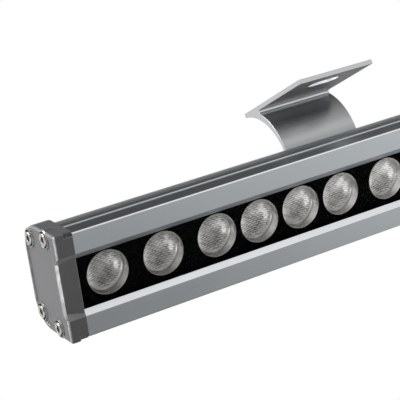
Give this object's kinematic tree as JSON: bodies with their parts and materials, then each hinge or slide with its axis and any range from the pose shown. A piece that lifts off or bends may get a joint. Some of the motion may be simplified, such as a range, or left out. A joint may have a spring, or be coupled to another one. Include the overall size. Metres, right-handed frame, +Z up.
{
  "type": "linear wall washer light",
  "caption": "Slim aluminium floodlight bar with a row of round lenses behind glass, hung by a clamp that slides along it from a curved bracket with an arc slot for the aim.",
  "frame": {"origin": "centre of the fixing slot in the top face of the bracket plate", "axes": "+Z up, out of the plate towards the surface it is fixed to; +X along the lamp; -Y the way the light is aimed"},
  "size_m": [0.3705, 0.0664, 0.0866],
  "materials": {
    "bracket_aluminium": "grey powder coat with a fine grain",
    "saddle_aluminium": "plain milled",
    "stainless_steel": "plain stainless steel",
    "housing_aluminium": "silver grey powder coat, satin",
    "front_glass": "clear toughened glass",
    "silicone": "matt silicone",
    "mask_black": "matt black",
    "lens_clear": "clear moulded plastic with a finely textured face",
    "holder_black": "matt black moulding",
    "led_yellow": "ceramic package with a clear dome",
    "board_white": "white solder resist on an aluminium board",
    "pad_grey": "soft grey pad",
    "zinc_steel": "bright zinc plated",
    "chip_black": "moulded epoxy",
    "terminal_white": "moulded nylon",
    "cap_paint": "darker grey powder coat, finely textured",
    "rubber_black": "matt rubber",
    "gland_brass": "nickel plated brass"
  },
  "bodies": {
    "bracket_body": {"bracket": "bracket_aluminium"},
    "clamp_body": {"clamp_saddle": "saddle_aluminium", "clamp_t_bolt": "stainless_steel", "clamp_flat_washer": "stainless_steel", "clamp_spring_washer": "stainless_steel", "clamp_nut": "stainless_steel"},
    "lamp_body": {"housing": "housing_aluminium", "front_glass": "front_glass", "glass_seal_upper": "silicone", "glass_seal_lower": "silicone", "lens_mask": "mask_black", "lens_01": "lens_clear", "lens_02": "lens_clear", "lens_03": "lens_clear", "lens_04": "lens_clear", "lens_05": "lens_clear", "lens_06": "lens_clear", "lens_07": "lens_clear", "lens_08": "lens_clear", "lens_09": "lens_clear", "lens_10": "lens_clear", "lens_11": "lens_clear", "lens_12": "lens_clear", "lens_holders": "holder_black", "led_emitters": "led_yellow", "led_board": "board_white", "thermal_pad": "pad_grey", "board_screws": "zinc_steel", "current_regulators": "chip_black", "supply_terminal": "terminal_white", "end_cap_left": "cap_paint", "end_cap_right": "cap_paint", "cap_gasket_left": "rubber_black", "cap_gasket_right": "rubber_black", "cap_screws_left": "stainless_steel", "cap_screws_right": "stainless_steel", "gland_body": "gland_brass", "gland_locknut": "gland_brass", "gland_cap_nut": "gland_brass", "gland_ring": "rubber_black", "gland_seal": "rubber_black"}
  },
  "joints": [
    {"name": "aim_tilt", "type": "hinge", "parent": "bracket_body", "child": "clamp_body", "pos_m": [0, 0.0519, -0.0287], "axis": [1, 0, 0], "range_deg": [-20, 35]},
    {"name": "lamp_slide", "type": "slide", "parent": "clamp_body", "child": "lamp_body", "axis": [1, 0, 0], "range_m": [-0.14, 0.14]}
  ]
}
